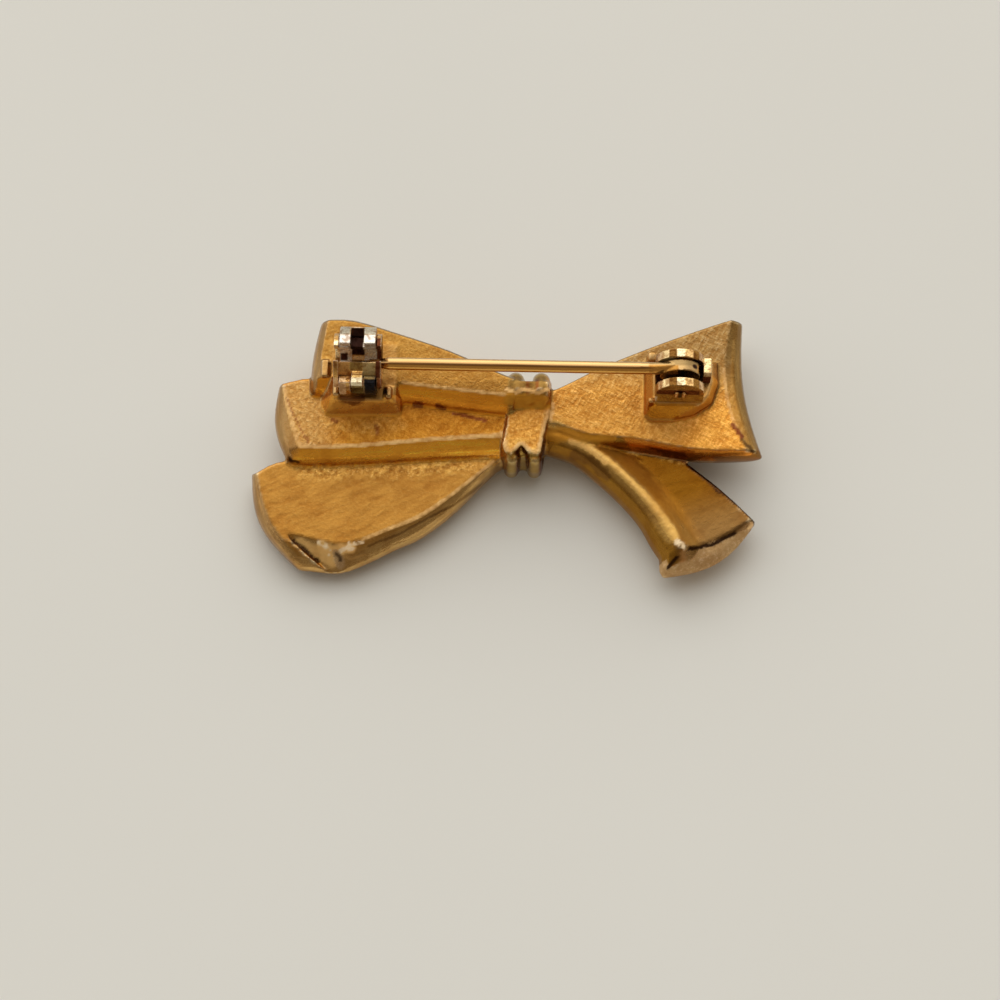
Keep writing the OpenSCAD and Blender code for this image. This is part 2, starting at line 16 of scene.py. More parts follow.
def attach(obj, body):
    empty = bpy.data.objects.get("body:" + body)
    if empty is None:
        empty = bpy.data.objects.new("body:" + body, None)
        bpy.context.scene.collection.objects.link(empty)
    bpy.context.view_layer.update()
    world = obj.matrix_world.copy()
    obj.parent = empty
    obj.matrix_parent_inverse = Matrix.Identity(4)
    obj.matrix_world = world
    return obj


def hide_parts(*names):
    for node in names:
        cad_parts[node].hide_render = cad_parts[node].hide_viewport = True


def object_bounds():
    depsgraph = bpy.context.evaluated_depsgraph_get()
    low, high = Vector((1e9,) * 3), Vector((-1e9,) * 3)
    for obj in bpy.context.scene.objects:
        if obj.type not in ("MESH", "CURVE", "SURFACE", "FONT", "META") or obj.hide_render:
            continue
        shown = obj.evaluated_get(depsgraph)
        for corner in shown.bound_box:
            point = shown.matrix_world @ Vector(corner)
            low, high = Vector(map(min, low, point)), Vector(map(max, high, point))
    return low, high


MM = 0.001
TILT = math.radians(18.0)   # the camera leans this far from straight above, towards the near side
UP = (0, math.cos(TILT), math.sin(TILT))        # up in the camera's view
BACK = (0, -math.sin(TILT), math.cos(TILT))     # from the object to the camera

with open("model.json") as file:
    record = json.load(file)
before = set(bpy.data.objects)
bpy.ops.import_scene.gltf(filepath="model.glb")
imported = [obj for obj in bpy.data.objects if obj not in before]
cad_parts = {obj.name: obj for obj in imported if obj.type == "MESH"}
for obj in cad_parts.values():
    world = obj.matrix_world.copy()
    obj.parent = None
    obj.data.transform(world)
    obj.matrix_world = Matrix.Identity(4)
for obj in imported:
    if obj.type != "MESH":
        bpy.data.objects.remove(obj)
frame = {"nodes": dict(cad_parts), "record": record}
cad_low, cad_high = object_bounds()
nodes = frame["nodes"]
joints = {j["name"]: np.array(j["pos_m"]) / MM for j in frame["record"]["behaviour"]["joints"]}
HINGE = joints["stem_hinge"]
CATCH = joints["rotor_turn"]


# Mesh helpers

def copy_mesh(name):
    """A CAD node's mesh in millimetres, with equal points merged, as a bmesh."""
    bm = bmesh.new()
    bm.from_mesh(nodes[name].data)
    bmesh.ops.scale(bm, vec=(1 / MM,) * 3, verts=bm.verts)
    bmesh.ops.remove_doubles(bm, verts=bm.verts, dist=1e-4)
    return bm


def add_hull(bm, points):
    """Adds the convex hull of some points to a bmesh."""
    made = [bm.verts.new(p) for p in points]
    bmesh.ops.convex_hull(bm, input=made)


def ring(centre, across, up, count=16):
    """Points of an ellipse in the plane across the pin."""
    return [(centre[0], centre[1] + across * math.cos(a), centre[2] + up * math.sin(a))
            for a in (2 * math.pi * i / count for i in range(count))]


def voxel_remesh(bm, voxel):
    """A closed skin of equal small quads over all that the bmesh holds."""
    mesh = bpy.data.meshes.new("work")
    bm.to_mesh(mesh)
    bm.free()
    obj = bpy.data.objects.new("work", mesh)
    bpy.context.scene.collection.objects.link(obj)
    mod = obj.modifiers.new("remesh", "REMESH")
    mod.mode = "VOXEL"
    mod.voxel_size = voxel
    bpy.context.view_layer.update()
    shell = obj.evaluated_get(bpy.context.evaluated_depsgraph_get())
    out = bpy.data.meshes.new_from_object(shell)
    bpy.data.objects.remove(obj)
    return out


def read(items, name, width):
    """A property of a mesh's points or faces, as rows of numbers."""
    values = np.empty(len(items) * width)
    items.foreach_get(name, values)
    return values.reshape(-1, width)


def write_points(mesh, co):
    """Moves a mesh's points."""
    mesh.vertices.foreach_set("co", co.ravel())
    mesh.update()


class Smoother:
    """Averages values over neighbouring points."""

    def __init__(self, mesh):
        edges = np.empty(len(mesh.edges) * 2, dtype=np.int64)
        mesh.edges.foreach_get("vertices", edges)
        self.a, self.b = edges.reshape(-1, 2).T
        self.count = len(mesh.vertices)
        self.degree = np.bincount(edges, minlength=self.count).clip(1)

    def mean(self, values):
        """The mean over each point's neighbours."""
        columns = values.reshape(self.count, -1)
        out = np.empty_like(columns)
        for k in range(columns.shape[1]):
            c = columns[:, k]
            total = np.bincount(self.a, c[self.b], self.count)
            total += np.bincount(self.b, c[self.a], self.count)
            out[:, k] = total / self.degree
        return out.reshape(values.shape)

    def smooth(self, values, steps, share=0.5):
        for _ in range(steps):
            values = values + share * (self.mean(values) - values)
        return values

    def taubin(self, values, steps):
        """Smooths with hardly any shrinking."""
        for _ in range(steps):
            values = self.smooth(values, 1, 0.5)
            values = self.smooth(values, 1, -0.52)
        return values


def ramp(x, low, high):
    """0 at low, 1 at high, smooth between them."""
    t = np.clip((x - low) / (high - low), 0, 1)
    return t * t * (3 - 2 * t)


def noise_field(points, waves, seed=0.0, octaves=2):
    """Smooth noise about 0 at each point; waves per millimetre, one number or three."""
    q = points * np.broadcast_to(np.asarray(waves, float), 3) + seed * 17.13
    return np.array([noise.fractal(p, 0.6, 2.1, octaves) for p in q])


def near_path(co, path, half, soft=0.5):
    """1 within half of a line of plan points, 0 past it; soft is the share that fades."""
    p = co[:, :2]
    line = np.array(path, float)
    best = np.full(len(p), 1e9)
    for a, b in zip(line[:-1], line[1:]):
        d = b - a
        t = np.clip(((p - a) @ d) / max(d @ d, 1e-9), 0, 1)
        best = np.minimum(best, np.linalg.norm(p - a - t[:, None] * d, axis=1))
    return 1 - ramp(best, half * (1 - soft), half)


def band(values, low, high, soft=0.12):
    """1 between low and high, fading to 0 over soft outside them."""
    return ramp(values, low - soft, low) * (1 - ramp(values, high, high + soft))


def in_box(co, low, high, soft=0.1):
    """1 inside a box, fading to 0 over soft outside it."""
    w = np.ones(len(co))
    for k in range(3):
        w *= band(co[:, k], low[k], high[k], soft)
    return w


class Skin:
    """A piece's remeshed surface, on which its tint is painted before it is placed."""

    def __init__(self, bm, voxel, steps, tint, origin=(0, 0, 0)):
        self.mesh = voxel_remesh(bm, voxel)
        self.smoother = Smoother(self.mesh)
        self.origin = np.array(origin)
        self.co = self.smoother.taubin(read(self.mesh.vertices, "co", 3), steps)
        self.measure()
        self.tint = np.tile(np.array(tint), (len(self.co), 1))
        self.matt = np.zeros(len(self.co))

    def measure(self):
        """Takes the normals again after the points have moved."""
        write_points(self.mesh, self.co)
        self.no = read(self.mesh.vertices, "normal", 3)

    def local(self):
        """The points from the piece's own origin, such as its joint."""
        return self.co - self.origin

    def edge(self, low, high, steps=8):
        """1 on edges that stand out, 0 on flats and in hollows."""
        return ramp(((self.co - self.smoother.smooth(self.co, steps)) * self.no).sum(1), low, high)

    def deep(self, low, high, steps=60):
        """1 in corners and hollows, 0 elsewhere."""
        return ramp(((self.smoother.smooth(self.co, steps) - self.co) * self.no).sum(1), low, high)

    def facing(self, direction, low, high):
        """1 where the surface faces a direction, 0 where it turns away."""
        return ramp(self.no @ np.array(direction, float), low, high)

    def light(self):
        """1 where the tint is light, 0 where it is dark."""
        return ramp(self.tint[:, 0], 0.1, 0.4)

    def paint(self, colour, weight, matt=0.0):
        """Lays a tint and its mattness over the points, by their weight."""
        w = np.clip(weight, 0, 1)
        self.tint = self.tint * (1 - w[:, None]) + np.array(colour) * w[:, None]
        self.matt = self.matt * (1 - w) + matt * w

    def patch(self, along, heights, colour, matt, soft=0.05):
        """Paints a window between two places along the pin and two heights in the camera's view."""
        local = self.local()
        w = np.ones(len(local))
        for values, (low, high) in ((local[:, 0], along), (local @ np.array(UP), heights)):
            w *= ramp(values, low - soft, low + soft) * (1 - ramp(values, high - soft, high + soft))
        self.paint(colour, w, matt)

    def patches(self, rows):
        """Paints the windows of a table, in its order."""
        for row in rows:
            self.patch(*row)

    def value(self, name, values):
        """Gives the shader a number for each point."""
        a = self.mesh.attributes.new(name, "FLOAT", "POINT")
        a.data.foreach_set("value", np.broadcast_to(values, len(self.co)).astype(np.float32))

    def place(self, name, material, body, node, slot_name):
        """Shows the piece, in metres and inside the frame's box, in place of its CAD node."""
        a = self.mesh.attributes.new("tint", "FLOAT_COLOR", "POINT")
        a.data.foreach_set("color", np.insert(self.tint, 3, 1, axis=1).astype(np.float32).ravel())
        self.value("matt", self.matt)
        write_points(self.mesh, np.clip(self.co * MM, np.array(cad_low), np.array(cad_high)))
        self.mesh.name = name
        obj = bpy.data.objects.new(name, self.mesh)
        bpy.context.scene.collection.objects.link(obj)
        self.mesh.materials.clear()
        self.mesh.materials.append(material)
        self.mesh.polygons.foreach_set("use_smooth", [True] * len(self.mesh.polygons))
        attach(obj, body)
        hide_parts(node)


# Materials

class Graph:
    """Short words for building a node material."""

    def __init__(self, tree):
        self.tree = tree

    def node(self, kind, **values):
        n = self.tree.nodes.new(kind)
        for key, value in values.items():
            setattr(n, key, value)
        return n

    def feed(self, socket, value):
        if isinstance(value, bpy.types.NodeSocket):
            self.tree.links.new(value, socket)
        else:
            socket.default_value = value

    def attribute(self, name, output="Fac"):
        return self.node("ShaderNodeAttribute", attribute_name=name).outputs[output]

    def math(self, operation, a, b=0.0):
        n = self.node("ShaderNodeMath", operation=operation)
        self.feed(n.inputs[0], a)
        self.feed(n.inputs[1], b)
        return n.outputs[0]

    def noise(self, waves, detail=3.0, rough=0.6, stretch=(1, 1, 1), turn=0.0, distortion=0.0):
        """Noise in waves per millimetre, stretched along axes turned about Z by degrees."""
        coords = self.node("ShaderNodeTexCoord").outputs["Object"]
        mapping = self.node("ShaderNodeMapping", vector_type="TEXTURE")
        self.feed(mapping.inputs["Vector"], coords)
        mapping.inputs["Rotation"].default_value = (0, 0, math.radians(turn))
        mapping.inputs["Scale"].default_value = tuple(MM / s for s in stretch)
        n = self.node("ShaderNodeTexNoise")
        self.feed(n.inputs["Vector"], mapping.outputs[0])
        n.inputs["Scale"].default_value = waves
        n.inputs["Detail"].default_value = detail
        n.inputs["Roughness"].default_value = rough
        n.inputs["Distortion"].default_value = distortion
        return n.outputs["Fac"]

    def levels(self, value, low, high, out_low=0.0, out_high=1.0):
        n = self.node("ShaderNodeMapRange", interpolation_type="SMOOTHSTEP")
        self.feed(n.inputs["Value"], value)
        n.inputs["From Min"].default_value = low
        n.inputs["From Max"].default_value = high
        n.inputs["To Min"].default_value = out_low
        n.inputs["To Max"].default_value = out_high
        return n.outputs["Result"]

    def mix(self, factor, a, b, mode="MIX"):
        n = self.node("ShaderNodeMix", data_type="RGBA", blend_type=mode)
        self.feed(n.inputs[0], factor)
        self.feed(n.inputs[6], a)
        self.feed(n.inputs[7], b)
        return n.outputs[2]

    def bump(self, height, strength, distance, normal=None):
        n = self.node("ShaderNodeBump")
        self.feed(n.inputs["Strength"], strength)
        n.inputs["Distance"].default_value = distance * MM
        self.feed(n.inputs["Height"], height)
        if normal is not None:
            self.feed(n.inputs["Normal"], normal)
        return n.outputs["Normal"]


def new_material(name):
    material = bpy.data.materials.new(name)
    material.use_nodes = True
    shader = material.node_tree.nodes["Principled BSDF"]
    shader.inputs["Specular IOR Level"].default_value = 0.0
    return material, Graph(material.node_tree), shader


def painted_metal(name):
    """A metal that takes its tint and mattness from the points of its piece."""
    material, g, shader = new_material(name)
    tint, matt = g.attribute("tint", "Color"), g.attribute("matt")
    g.feed(shader.inputs["Metallic"], g.math("SUBTRACT", 1.0, matt))
    return material, g, shader, tint, matt


def cast_gold():
    """Satin gold casting; its points also say how hatched, crumbly and glossy it is."""
    material, g, shader, tint, matt = painted_metal("cast_gold")
    hatch, crumble, gloss = (g.attribute(name) for name in ("hatch", "crumble", "gloss"))
    one_way, other_way = (g.noise(2.8, 4.0, 0.65, stretch=(0.5, 2.0, 1.0), turn=turn, distortion=0.3)
                          for turn in (61, -27))
    lines = g.math("ADD", one_way, other_way)
    streaks = g.noise(1.1, 3.0, 0.6, stretch=(0.4, 1.8, 1.0), turn=24, distortion=0.4)
    crumbs = g.noise(4.4, 4.0, 0.7)
    clouds = g.noise(0.5, 3.0, 0.6)
    deeper = g.mix(1.0, tint, (0.60, 0.42, 0.25, 1), "MULTIPLY")
    paler = g.mix(1.0, tint, (1.35, 1.55, 2.2, 1), "MULTIPLY")
    soft = g.math("MULTIPLY", g.levels(streaks, 0.36, 0.56, 0.22, 0.0), g.math("SUBTRACT", 1.0, gloss))
    base = g.mix(soft, tint, deeper)
    base = g.mix(g.levels(clouds, 0.36, 0.56, 0.35, 0.0), base, deeper)
    low_crumbs = g.math("MULTIPLY", g.levels(crumbs, 0.38, 0.52, 0.6, 0.0), crumble)
    base = g.mix(low_crumbs, base, deeper)
    high_crumbs = g.math("MULTIPLY", g.levels(crumbs, 0.53, 0.66, 0.0, 0.8), crumble)
    base = g.mix(high_crumbs, base, paler)
    base = g.mix(g.math("MULTIPLY", g.levels(lines, 1.02, 1.2, 0.0, 0.8), hatch), base, paler)
    base = g.mix(g.math("MULTIPLY", g.levels(lines, 0.82, 0.98, 0.6, 0.0), hatch), base, deeper)
    g.feed(shader.inputs["Base Color"], base)
    satin = g.levels(streaks, 0.35, 0.6, 0.46, 0.38)
    rough = g.math("SUBTRACT", satin, g.math("MULTIPLY", gloss, 0.2))
    g.feed(shader.inputs["Roughness"], g.math("ADD", rough, g.math("MULTIPLY", matt, 0.3)))
    fine = g.bump(lines, g.math("ADD", 0.08, g.math("MULTIPLY", hatch, 0.6)), 0.06)
    coarse = g.bump(crumbs, g.math("ADD", 0.12, g.math("MULTIPLY", crumble, 0.5)), 0.13, fine)
    ripple = g.levels(gloss, 0.3, 1.0, 0.3, 0.05)
    g.feed(shader.inputs["Normal"], g.bump(streaks, ripple, 0.06, coarse))
    return material


def fitting_gold():
    """Bright plated fittings, worn and stained in small patches."""
    material, g, shader, tint, _ = painted_metal("fitting_gold")
    mottle = g.noise(2.2, 4.0, 0.65)
    deeper = g.mix(1.0, tint, (0.42, 0.26, 0.14, 1), "MULTIPLY")
    g.feed(shader.inputs["Base Color"], g.mix(g.levels(mottle, 0.38, 0.54, 0.7, 0.0), tint, deeper))
    g.feed(shader.inputs["Roughness"], g.levels(mottle, 0.3, 0.7, 0.38, 0.2))
    g.feed(shader.inputs["Normal"], g.bump(mottle, 0.8, 0.12))
    return material


def wire_gold():
    """Drawn and polished wire with faint lines along it."""
    material, g, shader, tint, _ = painted_metal("wire_gold")
    lines = g.noise(3.0, 3.0, 0.6, stretch=(0.08, 2.5, 2.5))
    deeper = g.mix(1.0, tint, (0.8, 0.62, 0.4, 1), "MULTIPLY")
    g.feed(shader.inputs["Base Color"], g.mix(g.levels(lines, 0.35, 0.65, 0.35, 0.0), tint, deeper))
    g.feed(shader.inputs["Roughness"], g.levels(lines, 0.3, 0.7, 0.14, 0.24))
    g.feed(shader.inputs["Normal"], g.bump(lines, 0.3, 0.03))
    return material


CAST, FITTING, WIRE = cast_gold(), fitting_gold(), wire_gold()

# Metal tints, as linear reflectances; several stand for painted highlights, reflections and shade
BRIGHT = (0.98, 0.72, 0.36)
CREAM = (0.95, 0.80, 0.50)
# painted shade in grooves and hollows
GROOVE_SHADE = (0.20, 0.045, 0.010)
OLIVE = (0.42, 0.26, 0.06)
# near black: painted shade in gaps, hollows and creases, and tarnish at a chip
SHADE_AND_TARNISH = (0.035, 0.012, 0.006)
SILVER = (0.86, 0.80, 0.72)
# worn spots with painted glints
WEAR_AND_GLINT = (1.0, 0.80, 0.52)
BRONZE = (0.75, 0.34, 0.035)
# worn places with a painted highlight round the glints
WEAR_AND_HIGHLIGHT = (0.98, 0.61, 0.22)
# painted highlight at the start of the tail's crest
GILT_HIGHLIGHT = (1.0, 0.60, 0.19)
PEACH = (0.92, 0.62, 0.32)
# painted highlight on lips, rims and edges
LIP_HIGHLIGHT = (1.0, 0.64, 0.26)
BROWN = (0.42, 0.20, 0.04)
# dark red-brown: painted shade at the feet of walls, and stains at a scratch and a chip
STAIN_AND_SHADE = (0.20, 0.045, 0.020)
# painted shade, brown: under the lower loop's edge, on the tail's flank and on rim facets
BROWN_SHADE = (0.20, 0.09, 0.02)
CAST_TINT = (0.50, 0.28, 0.09)
FITTING_TINT = (0.70, 0.40, 0.12)
WIRE_TINT = (0.62, 0.40, 0.17)

# Sizes of the quads in the pieces' skins
CAST_VOXEL = 0.132
FITTING_VOXEL = 0.05
WIRE_VOXEL = 0.06
RIVET_VOXEL = 0.03


# The bow itself

LEFT, RIGHT = 0.2, 2.9          # the knot lies between these places along the pin
KNOT_GROOVES = (1.43, 2.13)     # its two grooves, along the pin
RIGHT_BACK = (4.0, 4.2)         # the right loop's back starts between these heights
TAIL_BACK = (3.6, 4.0)          # the tail's back ends between these heights
TAIL_END = (13.26, -7.98)       # a point of the tail's end edge, in plan
TAIL_OUT = (0.394, -0.919)      # the way that edge faces
LIP_REACH = 0.3                 # how far past its own width a lip looks for its edge

# Relief of the soft lumps, of the fine grain, and of the grain in the crumbled bands
LUMP_HEIGHT, CRUMB_HEIGHT, CRUMBLED_HEIGHT = 0.012, 0.010, 0.025

# Tints of single places on the bow; those of the tail's flank and inner slope are painted light, and the
# crest's is a painted highlight
RIGHT_FAR_TINT = (0.33, 0.19, 0.062)
RIGHT_END_TINT = (0.78, 0.37, 0.065)
RIBBON_END_TINT = (0.50, 0.27, 0.075)
KNOT_TOP_TINT = (0.26, 0.145, 0.036)
PLATE_TINT = (0.66, 0.32, 0.062)
FLANK_LIGHT = (0.34, 0.16, 0.02)
TAIL_BACK_TINT = (0.235, 0.122, 0.036)
TAIL_INNER_LIGHT = (0.42, 0.175, 0.020)
CREST_HIGHLIGHT = (0.54, 0.31, 0.08)
TAIL_END_TINT = (0.66, 0.42, 0.19)
CRUMB_TINT = (0.80, 0.46, 0.11)

# How matt a lip or mark of one of these tints is; the others shine
MATTNESS = {LIP_HIGHLIGHT: 0.9, WEAR_AND_GLINT: 0.95, BRONZE: 0.5, WEAR_AND_HIGHLIGHT: 0.55, GILT_HIGHLIGHT: 0.6}

# Flat backs of the loops: side of the knot, height range, tint, hatching and crumbling
FIELDS = {
    "top": (-1, (4.95, 5.75), (0.41, 0.205, 0.041), 0.35, 0.5),
    "middle": (-1, (3.45, 4.95), (0.53, 0.225, 0.026), 0.35, 0.75),
    "lower": (-1, (-9.0, 3.45), (0.42, 0.20, 0.038), 0.0, 0.25),
    "right": (1, (4.0, 5.2), (0.63, 0.305, 0.060), 0.8, 0.45),
    "tail": (1, (-9.0, 4.0), (0.182, 0.070, 0.005), 0.0, 0.1),
}

# Painted light and shade on the side walls, set by the way they face: side of the knot, height range, the
# way they face, tint and mattness
WALL_LIGHT_AND_SHADE = [
    (-1, (4.2, 5.8), (0, -1), (0.92, 0.36, 0.03), 0.35),
    (-1, (2.7, 4.2), (0, -1), (1.0, 0.45, 0.045), 0.25),
    (-1, (0.8, 2.7), (0, -1), (0.58, 0.35, 0.12), 0.0),
    (-1, (0.8, 5.8), (-1, 0), (0.46, 0.27, 0.10), 0.0),
    (1, (3.0, 4.5), (0, -1), (0.78, 0.28, 0.032), 0.1),
    (1, (3.0, 4.5), (1, 0), (0.32, 0.18, 0.05), 0.0),
    (-1, (4.2, 5.8), (0, 1), (0.26, 0.15, 0.04), 0.0),
    (1, (3.0, 4.6), (0, 1), (0.26, 0.15, 0.04), 0.0),
    (1, (1.0, 3.0), (0.4, -0.9), (0.70, 0.44, 0.20), 0.0),
]

# Painted light and shade on the bosses: box from low to high, the faces that take it with their ramp, or
# None for every wall, tint and mattness
BOSS_LIGHT_AND_SHADE = [
    ((10.2, 1.0, 4.75), (15.3, 6.6, 7.0), None, (0.60, 0.29, 0.06), 0.3),
    ((-13.7, 0.8, 4.3), (-7.9, 2.6, 5.9), None, (0.80, 0.38, 0.06), 0.3),
    ((10.2, 1.0, 4.75), (15.3, 2.6, 7.0), ((0, -1, 0), 0.2, 0.5), (0.66, 0.26, 0.02), 0.0),
    ((12.6, 1.0, 4.75), (15.6, 4.6, 7.0), ((0.7, -0.5, 0), 0.3, 0.6), (0.85, 0.38, 0.05), 0.5),
]

# The boxes round the bosses in which the edges show less wear and painted highlight
LESS_EDGE_WEAR_AND_HIGHLIGHT = [
    ((10.0, 0.8, 4.6), (15.6, 6.8, 7.0)),
    ((-14.0, 0.6, 4.3), (-7.6, 6.8, 7.0)),
]

# The tail's crest, from the knot to its end
CREST = [(3.4, 0.9), (5.0, 0.11), (7.57, -1.78), (9.77, -3.82), (12.11, -7.06)]

# Bands of bright crumbs: plan path, half width, height range and strength
CRUMBLED = [
    ([(-15.0, -2.3), (-8.0, -2.0), (-1.0, -1.4)], 1.1, (2.4, 3.1), 0.8),
    ([(-13.6, 2.3), (-13.0, 1.0), (-10.8, 0.67), (-7.9, 0.96)], 0.9, (3.9, 4.7), 0.45),
    ([(3.9, 0.75), (9.8, -0.35), (13.0, -1.3)], 0.3, (2.6, 3.6), 0.6),
    ([(-0.3, -0.9), (0.4, -0.6), (1.0, -0.3), (2.1, -0.8), (2.5, -0.9)], 0.30, (4.0, 5.2), 1.0),
]

# Painted highlights along edges and lips: plan path, half width, height range and strength
LIP_HIGHLIGHTS = [
    # the top loop's and the middle ribbon's near edges, and the ribbon's end
    ([(-7.4, 3.77), (-4.24, 3.37), (-0.35, 2.74)], 0.12, (5.2, 5.9), 0.7),
    ([(-14.85, -0.85), (-12.2, -1.18), (-7.83, -0.71), (-4.17, -0.33), (-0.67, 0.2)],
     0.20, (3.9, 4.6), 1.0),
    ([(-16.55, 3.25), (-15.96, 1.31), (-14.92, -0.92)], 0.10, (3.8, 4.6), 0.6),
    # the lower loop's near edge
    ([(-10.16, -7.59), (-7.7, -6.47), (-4.1, -4.32), (-0.7, -1.39)], 0.09, (2.3, 2.9), 0.6),
    # the plate's ridge and foot
    ([(3.18, 2.44), (2.76, 0.88), (2.49, -0.75)], 0.14, (4.2, 5.4), 0.6),
    ([(-0.3, -0.9), (0.4, -0.6), (1.0, -0.3), (2.1, -0.8), (2.5, -0.9)], 0.24, (4.0, 5.2), 0.8),
    # the right loop's end edge
    ([(16.2, 5.5), (16.35, 3.4), (16.7, 1.4)], 0.12, (4.0, 5.0), 0.6),
]

# Stains, painted highlights and painted shade: plan path, half width, height range, tint and strength
MARKS = [
    # the knot's upper lip as a painted highlight, over a brown band
    ([(0.1, 2.55), (1.5, 2.55), (2.8, 2.55)], 0.55, (4.0, 6.0), BRONZE, 0.9),
    ([(-0.1, 3.25), (0.55, 3.03), (1.35, 3.36), (2.25, 3.05), (3.0, 3.42)],
     0.17, (4.9, 6.0), LIP_HIGHLIGHT, 1.0),
    # painted shade at the top loop's foot and in the ring round the catch's boss
    ([(-6.8, 2.45), (-6.3, 2.4)], 0.22, (3.9, 4.7), STAIN_AND_SHADE, 0.8),
    ([(-5.2, 2.3), (-4.6, 2.2)], 0.18, (3.9, 4.7), STAIN_AND_SHADE, 0.8),
    ([(-4.0, 1.85), (-2.6, 1.6), (-1.6, 1.35)], 0.20, (3.9, 4.7), STAIN_AND_SHADE, 0.8),
    ([(-12.8, 1.2), (-12.5, 1.1)], 0.20, (3.9, 4.7), STAIN_AND_SHADE, 0.7),
    ([(-9.6, 0.85), (-9.5, 0.2)], 0.20, (3.9, 4.7), STAIN_AND_SHADE, 0.6),
    # the middle ribbon's scratch, and painted shade in its corner
    ([(-16.3, 2.9), (-15.5, 1.1), (-14.5, -0.6)], 0.07, (3.9, 4.6), STAIN_AND_SHADE, 0.6),
    ([(-15.85, -1.45), (-15.3, -1.65)], 0.28, (2.2, 3.3), SHADE_AND_TARNISH, 0.9),
    # the lower loop: under its near edge, and its corner's worn flat, streak and stains; the corner's wear
    # carries painted highlights and glints, and the dark line under the near edge and the dark at the
    # corner's foot are painted shade
    ([(-15.0, -7.75), (-13.4, -8.5), (-12.6, -9.0)], 0.50, (0.8, 2.62), WEAR_AND_HIGHLIGHT, 0.8),
    ([(-13.4, -7.95), (-12.6, -8.3), (-11.2, -8.1)], 0.45, (1.2, 2.8), WEAR_AND_HIGHLIGHT, 0.9),
    ([(-13.6, -7.75), (-13.1, -7.95), (-12.75, -8.45)], 0.19, (1.2, 2.8), WEAR_AND_GLINT, 1.0),
    ([(-12.9, -8.55), (-12.5, -8.8)], 0.14, (0.9, 2.8), WEAR_AND_GLINT, 0.9),
    ([(-12.0, -8.3), (-11.5, -8.05), (-11.1, -8.1)], 0.18, (1.2, 2.8), WEAR_AND_GLINT, 1.0),
    ([(-11.4, -7.8), (-10.4, -7.7)], 0.15, (1.2, 2.8), WEAR_AND_GLINT, 1.0),
    ([(-12.3, -8.5), (-12.0, -9.1)], 0.45, (0.6, 2.4), (0.72, 0.50, 0.28), 0.85),
    ([(-10.0, -7.9), (-7.5, -6.78), (-3.9, -4.62), (-0.6, -1.75)], 0.10, (1.6, 2.62), BROWN_SHADE, 0.7),
    ([(-12.3, -8.5), (-12.0, -8.85)], 0.19, (0.9, 2.3), (0.10, 0.05, 0.02), 0.85),
    ([(-15.8, -7.35), (-14.9, -8.08), (-13.7, -8.92)], 0.22, (0.8, 2.62), SHADE_AND_TARNISH, 0.95),
    ([(-13.75, -9.0), (-13.1, -9.4)], 0.20, (0.3, 1.6), (0.70, 0.44, 0.18), 0.9),
    ([(-14.5, -9.02), (-13.5, -9.05)], 0.28, (0.0, 1.6), SHADE_AND_TARNISH, 0.9),
    # painted shadow in the hollow under the catch
    ([(-12.2, 2.3), (-11.3, 2.2), (-10.6, 2.32)], 0.30, (5.0, 6.2), (0.15, 0.045, 0.016), 0.8),
    # the right loop's chipped edge, and darker along its near side below it
    ([(16.5, 1.3), (17.2, 0.4)], 0.20, (3.9, 4.6), STAIN_AND_SHADE, 0.9),
    ([(17.2, 0.2), (18.0, -0.6)], 0.20, (3.4, 4.6), SHADE_AND_TARNISH, 0.7),
    ([(15.6, -0.75), (18.6, -0.7)], 0.6, (1.0, 3.8), (0.26, 0.11, 0.02), 0.85),
    # the tail's root, and painted shade in the groove between the right loop and the tail
    ([(3.3, 0.45), (5.0, 0.5), (7.6, 0.4)], 0.65, (2.8, 4.35), BRONZE, 0.85),
    ([(3.9, 0.95), (6.5, 0.5), (9.8, 0.0), (13.1, -1.05)], 0.24, (2.6, 3.9), GROOVE_SHADE, 0.7),
    # the tail: a painted highlight at its crest's start, a glint at its corner, painted shade on its
    # flank, and painted shade along its end and far edge
    ([(4.62, 0.06), (6.1, -0.61), (7.28, -1.6)], 0.24, (2.8, 5.0), GILT_HIGHLIGHT, 0.75),
    ([(12.5, -7.55), (13.0, -7.9)], 0.28, (2.6, 3.8), WEAR_AND_GLINT, 1.0),
    ([(4.9, -0.75), (6.3, -1.4), (7.4, -2.5)], 0.35, (2.4, 3.7), BROWN_SHADE, 0.8),
    ([(11.9, -9.2), (13.0, -8.1), (13.3, -7.98), (15.0, -7.45), (16.8, -6.47)],
     0.17, (1.0, 3.45), SHADE_AND_TARNISH, 0.95),
    ([(13.3, -1.3), (15.7, -3.4), (18.1, -5.3)], 0.19, (1.6, 3.2), SHADE_AND_TARNISH, 0.9),
    ([(18.05, -5.3), (18.3, -5.5)], 0.26, (1.8, 3.1), SHADE_AND_TARNISH, 0.95),
]


